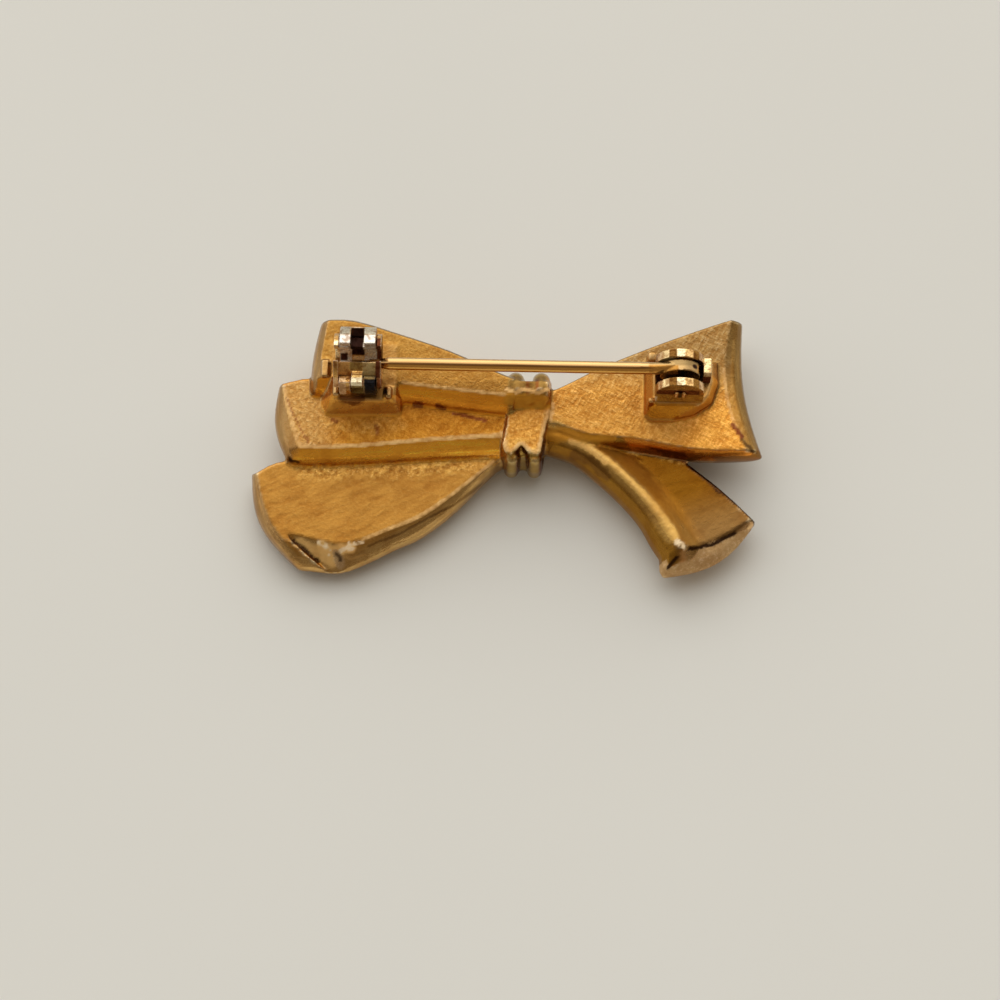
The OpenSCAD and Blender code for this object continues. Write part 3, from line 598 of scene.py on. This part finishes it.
def bow():
    """The casting: tinted backs, walls painted with light and shade, the knot, the tail, then painted
    shade in hollows, edges with wear and painted highlight, crumbs, lips with painted highlight, and
    stains with painted light and shade.
    """
    skin = Skin(copy_mesh("bow_casting"), CAST_VOXEL, 2, CAST_TINT)
    co = skin.co
    x, y, z = co.T
    flat = ramp(skin.smoother.smooth(skin.no[:, 2], 2), 0.80, 0.95)
    wall = 1 - flat
    upper = ramp(skin.no[:, 2], -0.15, 0.05)
    lumps = noise_field(co, 0.8, 1.0, 3)
    crumbs = noise_field(co, 2.6, 2.0, 2)
    streaks = noise_field(co, (0.35, 0.35, 5.0), 3.0, 2)
    side = {-1: 1 - ramp(x, LEFT - 0.3, LEFT), 1: ramp(x, RIGHT - 0.3, RIGHT)}
    hatch = np.zeros(len(co))
    crumble = np.full(len(co), 0.15)

    # the backs, and the walls with painted light and shade
    for way, (low, high), tint, hatched, crumbly in FIELDS.values():
        w = side[way] * band(z, low, high)
        skin.paint(tint, w * upper)
        hatch += (hatched - hatch) * w * flat
        crumble += (crumbly - crumble) * w * flat
    right_back = side[1] * ramp(z, *RIGHT_BACK)
    skin.paint(RIGHT_FAR_TINT, right_back * ramp(y, 3.0, 6.5) * upper * 0.95)
    skin.paint(RIGHT_END_TINT, right_back * ramp(x, 11.5, 14.0) * (1 - ramp(y, 2.0, 4.0)) * flat)
    skin.paint(RIBBON_END_TINT, side[-1] * band(z, 3.9, 4.5) * (1 - ramp(x, -14.5, -11.5)) * flat)
    # painted light and shade on each wall by the way it faces, with lighter streaks
    for way, (low, high), faces, tint, matt in WALL_LIGHT_AND_SHADE:
        turned = side[way] * wall * ramp(skin.no[:, :2] @ np.array(faces, float), 0.25, 0.55)
        skin.paint(tint, turned * band(z, low, high, 0.05) * upper, matt)
        skin.paint(np.array(tint) * 1.5, turned * band(z, low, high) * ramp(streaks, 0.1, 0.5) * 0.6)

    # painted light and shade on the bosses
    for low, high, faces, tint, matt in BOSS_LIGHT_AND_SHADE:
        turned = wall if faces is None else skin.facing(*faces)
        skin.paint(tint, in_box(co, low, high) * turned, matt)

    # the knot, with painted shade in its grooves and on its faces turned to the right
    on_knot = (1 - side[-1]) * (1 - side[1])
    plate = on_knot * band(z, 4.3, 4.8) * (1 - ramp(y, 2.2, 2.5))
    skin.paint(OLIVE, on_knot)
    skin.paint(KNOT_TOP_TINT, on_knot * ramp(z, 5.1, 5.2) * ramp(skin.no[:, 2], 0.2, 0.5))
    # painted shade in the knot's grooves
    for groove in KNOT_GROOVES:
        skin.paint(GROOVE_SHADE, on_knot * ramp(z, 5.3, 5.4) * (1 - ramp(np.abs(x - groove), 0.05, 0.16)) * 0.7)
    skin.paint(PLATE_TINT, plate * flat)
    crumble += (0.9 - crumble) * plate
    # painted shade on the knot's faces turned to the right
    skin.paint(GROOVE_SHADE, on_knot * skin.facing((1, 0, 0), 0.5, 0.8) * band(y, -2.2, 2.4))

    # the tail: painted light on its outer flank, its back, painted light on its inner slope, a painted
    # highlight on its crest, and its grainy end
    # painted light on the outer flank, by the way it faces
    flank = near_path(co, CREST, 2.2, 0.1) * side[1] * ramp(z, 1.9, 2.1)
    skin.paint(FLANK_LIGHT, flank * skin.facing((-0.6, -0.7, 0), 0.2, 0.45))
    on_tail = side[1] * (1 - ramp(z, *TAIL_BACK))
    toward_end = (co[:, :2] - TAIL_END) @ np.array(TAIL_OUT)
    skin.paint(TAIL_BACK_TINT, ramp(toward_end, -4.5, 0.0) * on_tail * flat)
    # painted light on the inner slope, by the way it faces
    inner = near_path(co, CREST, 2.8, 0.5) * side[1] * ramp(z, 2.4, 2.6)
    inner = skin.smoother.smooth(inner * skin.facing((0.8, 0.6, 0), 0.15, 0.4), 14)
    skin.paint(TAIL_INNER_LIGHT, inner * (1 - 0.6 * ramp(toward_end, -4.5, -1.0)), 0.5)
    # painted highlight along the crest
    crest = near_path(co + 0.1 * lumps[:, None], CREST, 0.75)
    skin.paint(CREST_HIGHLIGHT, crest * side[1] * ramp(z, 3.2, 3.6))
    end = ramp(toward_end, -0.02, 0.08) * side[1]
    end *= np.maximum(1 - ramp(z, 2.9, 3.0), skin.facing((*TAIL_OUT, 0), 0.4, 0.7))
    skin.paint(TAIL_END_TINT, end, 0.5)
    crumble += (0.5 - crumble) * end

    # painted shade in the hollows, and raised edges lighter with wear and painted highlight
    tail = near_path(co, CREST, 3.0, 0.2) * side[1]
    # painted shade in the hollows, away from the tail
    skin.paint(GROOVE_SHADE, skin.deep(0.14, 0.40, 52) * (1 - tail) * 0.8)
    # raised edges lighter, partly wear and partly painted highlight, not where they face the far side
    worn = skin.edge(0.016, 0.05, 6) * (0.5 + 0.8 * crumbs) * upper
    bosses = sum(in_box(co, low, high) for low, high in LESS_EDGE_WEAR_AND_HIGHLIGHT)
    skin.paint(CREAM, worn * (1 - skin.facing((0, 1, 0), 0.1, 0.3)) * (1 - 0.7 * bosses))

    # crumbs, painted highlights on lips, and stains with painted highlights and shade
    rough_height = np.zeros(len(co))
    for path, half, (low, high), strength in CRUMBLED:
        w = strength * near_path(co + 0.3 * lumps[:, None], path, half, 1.0) * band(z, low, high) * upper
        skin.paint(CRUMB_TINT, w * ramp(crumbs, -0.45, 0.3))
        crumble += (1 - crumble) * w
        rough_height += w
    wander = co + 0.06 * crumbs[:, None] + 0.06 * lumps[:, None]
    nearly = skin.smoother.smooth(ramp(skin.no[:, 2], 0.92, 0.98), 4)
    rim = ramp(nearly, 0.06, 0.22) * (1 - ramp(nearly, 0.85, 0.97)) * (1.0 + 0.8 * crumbs)
    broken = ramp(crumbs + 0.6 * lumps, -0.55, 0.1)
    # painted highlights along the lips
    for path, half, (low, high), strength in LIP_HIGHLIGHTS:
        w = strength * near_path(co, path, half + LIP_REACH, 0.3) * band(z, low, high, 0.05) * rim
        skin.paint(LIP_HIGHLIGHT, w, MATTNESS[LIP_HIGHLIGHT])
        plain = 1 - w.clip(0, 1)
        crumble, hatch = crumble * plain, hatch * plain
    # stains, painted highlights and painted shade from the marks
    for path, half, (low, high), colour, strength in MARKS:
        w = strength * near_path(wander, path, half) * band(z, low, high, 0.05)
        if colour == WEAR_AND_GLINT:
            w *= broken
        matt = MATTNESS.get(colour, 0.0)
        if matt:
            crumble, hatch = crumble * (1 - w), hatch * (1 - w)
        skin.paint(colour, w, matt)

    relief = (LUMP_HEIGHT * lumps + CRUMB_HEIGHT * crumbs) * (0.3 + 0.7 * flat)
    relief += CRUMBLED_HEIGHT * crumbs * np.clip(rough_height, 0, 1)
    skin.co = co + skin.no * relief[:, None]
    skin.value("hatch", hatch)
    skin.value("crumble", crumble)
    skin.value("gloss", np.maximum(wall, 0.7 * on_tail))
    skin.place("bow", CAST, "brooch", "bow_casting", "cast_gold")


# The fittings

# Worn silver, painted light and painted shade of the catch as the camera sees it: extent along the pin,
# height in view, colour, mattness
CATCH_WEAR_LIGHT_AND_SHADE = [
    # the walls beside the groove, worn silver and grey at the top, and painted shade in the groove and at
    # its mouth
    ((-1.38, -0.50), (-0.05, 1.80), (0.84, 0.76, 0.68), 0.45),
    ((0.40, 1.30), (-0.15, 1.80), (0.84, 0.78, 0.70), 0.45),
    ((-1.38, -0.56), (1.80, 2.60), (0.42, 0.37, 0.28), 0.5),
    ((0.40, 1.30), (1.80, 2.60), (0.48, 0.42, 0.31), 0.5),
    ((-0.52, 0.40), (0.46, 2.35), (0.035, 0.014, 0.010), 0.8),
    ((-1.34, -0.82), (0.05, 0.58), (0.06, 0.02, 0.012), 0.6),
    ((0.75, 1.28), (-0.10, 0.20), (0.20, 0.16, 0.12), 0.5),
    # the end flanges, with painted highlight and shade
    ((1.30, 1.68), (-1.30, 1.60), (0.14, 0.04, 0.015), 0.5),
    ((1.68, 2.20), (0.20, 2.00), (0.42, 0.24, 0.06), 0.4),
    ((-1.95, -1.42), (0.25, 1.35), (1.0, 0.84, 0.52), 0.3),
    ((-1.95, -1.42), (-0.60, 0.25), (0.40, 0.20, 0.06), 0.4),
    # below the groove: brown and gold beside the tab
    ((-1.40, -0.58), (-1.32, -0.05), (0.50, 0.25, 0.07), 0.6),
    ((0.38, 1.30), (-1.37, -0.20), (0.46, 0.33, 0.14), 0.6),
    ((-0.52, 0.36), (-0.75, 0.10), (0.30, 0.18, 0.05), 0.6),
    ((-0.42, 0.34), (0.12, 0.42), (0.95, 0.68, 0.36), 0.6),
    # the foot: a painted highlight on the lug to the left, painted shadow to the right, olive between
    ((-1.95, -0.80), (-2.75, -1.32), PEACH, 0.7),
    ((0.50, 1.40), (-2.60, -1.37), (0.015, 0.015, 0.018), 0.5),
    ((-0.45, 0.55), (-2.70, -1.85), (0.24, 0.15, 0.04), 0.6),
    ((1.40, 2.00), (-2.75, -1.30), (0.30, 0.10, 0.03), 0.5),
]

# The thumb tab's painted highlights and shade: brown, gold and cream down its length
TAB_LIGHT_AND_SHADE = [
    ((-0.60, 0.40), (-1.30, -0.72), (0.95, 0.62, 0.22), 0.5),
    ((-0.60, 0.40), (-1.12, -1.00), (0.30, 0.13, 0.03), 0.6),
    ((-0.60, 0.40), (-1.90, -1.30), (1.0, 0.86, 0.56), 0.6),
]

# Painted light and shade of the bracket, in the same form
JOINT_LIGHT_AND_SHADE = [
    # the painted shade of the hollow over the eye gives way to gold where the far ear shows
    ((-1.95, -0.45), (0.52, 0.95), (0.34, 0.26, 0.12), 0.6),
    # the near ear's face: brown, a band of painted shade, then gold like the boss under it, and a small
    # painted highlight
    ((-1.75, 1.75), (-1.42, -0.95), (0.50, 0.25, 0.05), 0.4),
    ((-1.80, 1.40), (-1.72, -1.42), (0.20, 0.05, 0.012), 0.5),
    ((-2.10, 2.20), (-2.90, -1.72), (0.62, 0.33, 0.05), 0.45),
    ((-2.40, -1.72), (-2.40, 0.60), (0.40, 0.19, 0.04), 0.5),
    ((-2.30, -1.60), (-2.50, -1.85), (1.0, 0.80, 0.46), 0.5),
    # the stop: a painted highlight above, painted shade below
    ((1.72, 2.40), (-0.35, 1.05), (1.0, 0.82, 0.50), 0.45),
    ((1.72, 2.40), (-0.95, -0.35), (0.16, 0.035, 0.015), 0.5),
]

# The box of the painted shade in the hollow between the ears, from the hinge's axis
EYE_HOLLOW = (-1.7, -1.12, -2.2), (1.6, 0.55, 1.15)

# The ears' round rims are cut into facets, which take these painted highlights and shades in turn
FACETS = 18
RIM_FACET_LIGHTS = (BRIGHT, PEACH, BROWN, LIP_HIGHLIGHT, CREAM, BROWN_SHADE)

# Painted shade on the wire's eye, in the same form
EYE_SHADE = [
    ((-2.30, 1.50), (0.38, 1.00), (0.44, 0.29, 0.12), 0.2),
    ((-2.30, -0.20), (-0.25, 0.38), (0.58, 0.28, 0.06), 0.3),
]

# Ellipses by which the wire swells into its eye: place along the pin and height from the hinge, half width
# and half height
SWELL = [
    (-3.4, 0.50, 0.44, 0.44),
    (-2.0, 0.50, 0.43, 0.50),
    (-1.2, 0.55, 0.42, 0.62),
    (-0.5, 0.72, 0.41, 0.68),
]
# painted reflection of the floor on the wire's near side, and a dark painted reflection along the line
# that faces the camera
WIRE_FLOOR_REFLECTION = (0.80, 0.42, 0.10)
WIRE_CAMERA_REFLECTION = (0.30, 0.12, 0.03)


def facet_round(skin, low, high, count, depth):
    """Flattens the round rims about the hinge's axis into facets; gives each point's facet."""
    d = skin.local()[:, [0, 2]]
    r = np.linalg.norm(d, axis=1)
    step = 2 * math.pi / count
    angle = np.mod(np.arctan2(d[:, 1], d[:, 0]), 2 * math.pi)
    turn = np.mod(angle, step) - step / 2
    w = ramp(r, low, high) * ramp(d[:, 1], -0.3, 0.0)
    scale = 1 - depth * w * (1 - math.cos(step / 2) / np.cos(turn))
    skin.co[:, [0, 2]] = skin.origin[[0, 2]] + d * scale[:, None]
    skin.measure()
    return (angle // step).astype(int)


def catch_body():
    """The housing: worn silver walls beside the groove, brown and black towards its foot, painted light
    and shade as the camera sees it, and painted shade in its hollows.
    """
    skin = Skin(copy_mesh("catch_housing"), FITTING_VOXEL, 2, FITTING_TINT, CATCH)
    # worn silver, painted light and painted shade as the camera sees it
    skin.patches(CATCH_WEAR_LIGHT_AND_SHADE)
    # painted shade in the housing's hollows
    skin.paint(GROOVE_SHADE, skin.deep(0.02, 0.12))
    silver = skin.edge(0.006, 0.03) * skin.light() * ramp(skin.local()[:, 2], -1.0, 0.5)
    skin.paint(SILVER, silver * 0.6, 0.3)
    skin.place("catch_body", FITTING, "brooch", "catch_housing", "fitting_gold")


def catch_tube():
    """The rotor: the same painted light and shade, a thumb tab with painted highlights and shade, and gold
    flanges.
    """
    skin = Skin(copy_mesh("catch_rotor"), FITTING_VOXEL, 2, FITTING_TINT, CATCH)
    x, y, z = skin.local().T
    r = np.hypot(y, z)
    # the housing's worn silver, painted light and painted shade, also on the rotor
    skin.patches(CATCH_WEAR_LIGHT_AND_SHADE)
    tint, matt = skin.tint, skin.matt
    # painted highlights and shade down the thumb tab, kept on the tab
    skin.patches(TAB_LIGHT_AND_SHADE)
    on_tab = ramp(r, 1.75, 1.95) * (1 - ramp(np.abs(x), 1.25, 1.4))
    skin.tint = tint + (skin.tint - tint) * on_tab[:, None]
    skin.matt = matt + (skin.matt - matt) * on_tab
    skin.paint(SILVER, skin.edge(0.006, 0.03) * skin.light() * ramp(r, 1.5, 1.6) * 0.4)
    skin.place("catch_tube", FITTING, "rotor", "catch_rotor", "fitting_gold")


def joint_ears():
    """The bracket: faceted rims with painted highlights and shade, dull faces, painted shade inside, and a
    painted highlight on its stop.
    """
    skin = Skin(copy_mesh("joint_bracket"), FITTING_VOXEL, 2, FITTING_TINT, HINGE)
    facet = facet_round(skin, 1.35, 1.55, FACETS, 0.9)
    x, _, z = skin.local().T
    rim = ramp(np.hypot(x, z), 1.45, 1.6) * ramp(z, -0.4, 0.0)
    rim *= 1 - ramp(np.abs(skin.no[:, 1]), 0.5, 0.7)
    # painted shade in the hollow between the ears, kept off the rims
    skin.paint(SHADE_AND_TARNISH, in_box(skin.local(), *EYE_HOLLOW) * (1 - rim))
    # painted light and shade as the camera sees it
    skin.patches(JOINT_LIGHT_AND_SHADE)
    # painted highlights and shade, facet by facet
    for k, tint in enumerate(RIM_FACET_LIGHTS):
        skin.paint(tint, rim * (facet % len(RIM_FACET_LIGHTS) == k))
    # painted shade in the bracket's hollows
    skin.paint(GROOVE_SHADE, skin.deep(0.02, 0.12) * 0.8)
    skin.place("joint_ears", FITTING, "brooch", "joint_bracket", "fitting_gold")


def pin_wire():
    """The wire, which swells and bends into its flat round eye; its sides carry painted reflections and
    its eye painted shade.
    """
    bm = copy_mesh("pin_stem")
    rings = [ring(HINGE + (along, 0, lift), across, up) for along, lift, across, up in SWELL]
    for a, b in zip(rings[:-1], rings[1:]):
        add_hull(bm, a + b)
    skin = Skin(bm, WIRE_VOXEL, 4, WIRE_TINT, HINGE)
    x, _, z = skin.local().T
    eye = ramp(x, -2.4, -1.6)
    # painted reflection of the floor on the near side
    skin.paint(WIRE_FLOOR_REFLECTION, skin.facing((0, -1, 0.1), 0.3, 0.6) * (1 - eye))
    # painted shade on the eye's near face
    skin.paint(SHADE_AND_TARNISH, skin.facing((0, -1, 0), 0.6, 0.9) * eye * ramp(x, -1.3, -1.0))
    # painted shade on the eye
    skin.patches(EYE_SHADE)
    # painted shade on the eye's top next to the stop
    skin.paint(SHADE_AND_TARNISH, near_path(skin.local(), [(1.0, 0.0), (1.05, 0.0)], 0.22) * ramp(z, 0.6, 0.8))
    # dark painted reflection along the line that faces the camera
    skin.paint(WIRE_CAMERA_REFLECTION, skin.facing(BACK, 0.96, 0.99) * (1 - eye) * 0.75)
    skin.place("pin_wire", WIRE, "stem", "pin_stem", "wire_gold")


def rivet_pin():
    """The rivet: painted shade between the ears, and on its near end a dark stripe between two painted
    highlights.
    """
    skin = Skin(copy_mesh("joint_rivet"), RIVET_VOXEL, 2, BROWN, HINGE)
    x, y, _ = skin.local().T
    off_centre, near_end = np.abs(x), 1 - ramp(y, -0.9, -0.8)
    # painted shade between the ears
    skin.paint(SHADE_AND_TARNISH, in_box(skin.local(), (-1, -1.1, -1), (1, 0.5, 1), 0.05))
    # a dark stripe between two painted highlights on the near end
    skin.paint(SHADE_AND_TARNISH, (1 - ramp(off_centre, 0.10, 0.16)) * near_end)
    skin.paint(LIP_HIGHLIGHT, ramp(off_centre, 0.16, 0.22) * (1 - ramp(off_centre, 0.34, 0.40)) * near_end, 0.4)
    skin.place("rivet_pin", WIRE, "brooch", "joint_rivet", "wire_gold")


bow()
catch_body()
catch_tube()
joint_ears()
pin_wire()
rivet_pin()


# The stage, in metres

FLOOR_SIZE = 1.2
PAPER_TONES = (0.73, 0.72, 0.675, 1), (0.77, 0.76, 0.715, 1)

# The light's colours on the near and the far side, and the ways to the far side and to its bright wall
NEAR_LIGHT, FAR_LIGHT = (1.0, 0.86, 0.68, 1), (1.0, 0.99, 0.96, 1)
FAR_SIDE, BRIGHT_WALL = (-0.25, 0.97, 0.0), (-0.14, 0.783, 0.606)
WINDOW_PLACE, WINDOW_SIZE, WINDOW_POWER = (-0.095, 0.545, 0.43), (0.9, 0.42), 0.80

# The camera: the point it aims at, its distance from it and its roll, with sensor and lens in millimetres
AIM, DISTANCE, ROLL = (-0.000434, -0.003392, 0.0), 0.230, math.radians(1.05)
SENSOR, LENS = 36, 111.6


def floor():
    """A sheet of pale paper with a faint change of tone."""
    bpy.ops.mesh.primitive_plane_add(size=FLOOR_SIZE, location=(0, 0, 0))
    plane = bpy.context.object
    plane.name = "floor"
    material, g, shader = new_material("floor_paper")
    tone = g.noise(0.02, 2.0, 0.5)
    g.feed(shader.inputs["Base Color"], g.mix(tone, *PAPER_TONES))
    shader.inputs["Roughness"].default_value = 0.8
    plane.data.materials.append(material)


def area_light(name, place, size, power, colour):
    """A rectangular light that faces the object."""
    light = bpy.data.lights.new(name, "AREA")
    light.shape = "RECTANGLE"
    light.size, light.size_y = size
    light.energy = power
    light.color = colour
    obj = bpy.data.objects.new(name, light)
    bpy.context.scene.collection.objects.link(obj)
    obj.location = place
    obj.rotation_euler = (-Vector(place)).to_track_quat("-Z", "Y").to_euler()


def room():
    """Soft light from the whole far side, tapering overhead, and a dim near side."""
    world = bpy.data.worlds.new("room")
    bpy.context.scene.world = world
    world.use_nodes = True
    g = Graph(world.node_tree)
    background = world.node_tree.nodes["Background"]
    ray = g.node("ShaderNodeTexCoord").outputs["Generated"]

    def along(direction):
        """How far the ray points in a direction."""
        n = g.node("ShaderNodeVectorMath", operation="DOT_PRODUCT")
        g.feed(n.inputs[0], ray)
        n.inputs[1].default_value = direction
        return n.outputs["Value"]

    far = along(FAR_SIDE)
    far_side = g.levels(far, -0.15, 0.15, 0.28, 0.90)
    bright_wall = g.levels(along(BRIGHT_WALL), 0.55, 0.88, 0.0, 0.75)
    g.feed(background.inputs["Strength"], g.math("ADD", far_side, bright_wall))
    g.feed(background.inputs["Color"], g.mix(g.levels(far, -0.15, 0.15), NEAR_LIGHT, FAR_LIGHT))


def camera():
    """The camera, which leans over the near side."""
    data = bpy.data.cameras.new("camera")
    data.sensor_width = SENSOR
    data.lens = LENS
    data.clip_start, data.clip_end = 0.005, 10
    obj = bpy.data.objects.new("camera", data)
    bpy.context.scene.collection.objects.link(obj)
    turn = Matrix(((1, 0, 0), UP, BACK)).transposed() @ Matrix.Rotation(ROLL, 3, "Z")
    obj.matrix_world = Matrix.Translation(Vector(AIM) + Vector(BACK) * DISTANCE) @ turn.to_4x4()
    bpy.context.scene.camera = obj


floor()
room()
area_light("window", WINDOW_PLACE, WINDOW_SIZE, WINDOW_POWER, FAR_LIGHT[:3])
camera()
bpy.context.scene.view_settings.view_transform = "Standard"
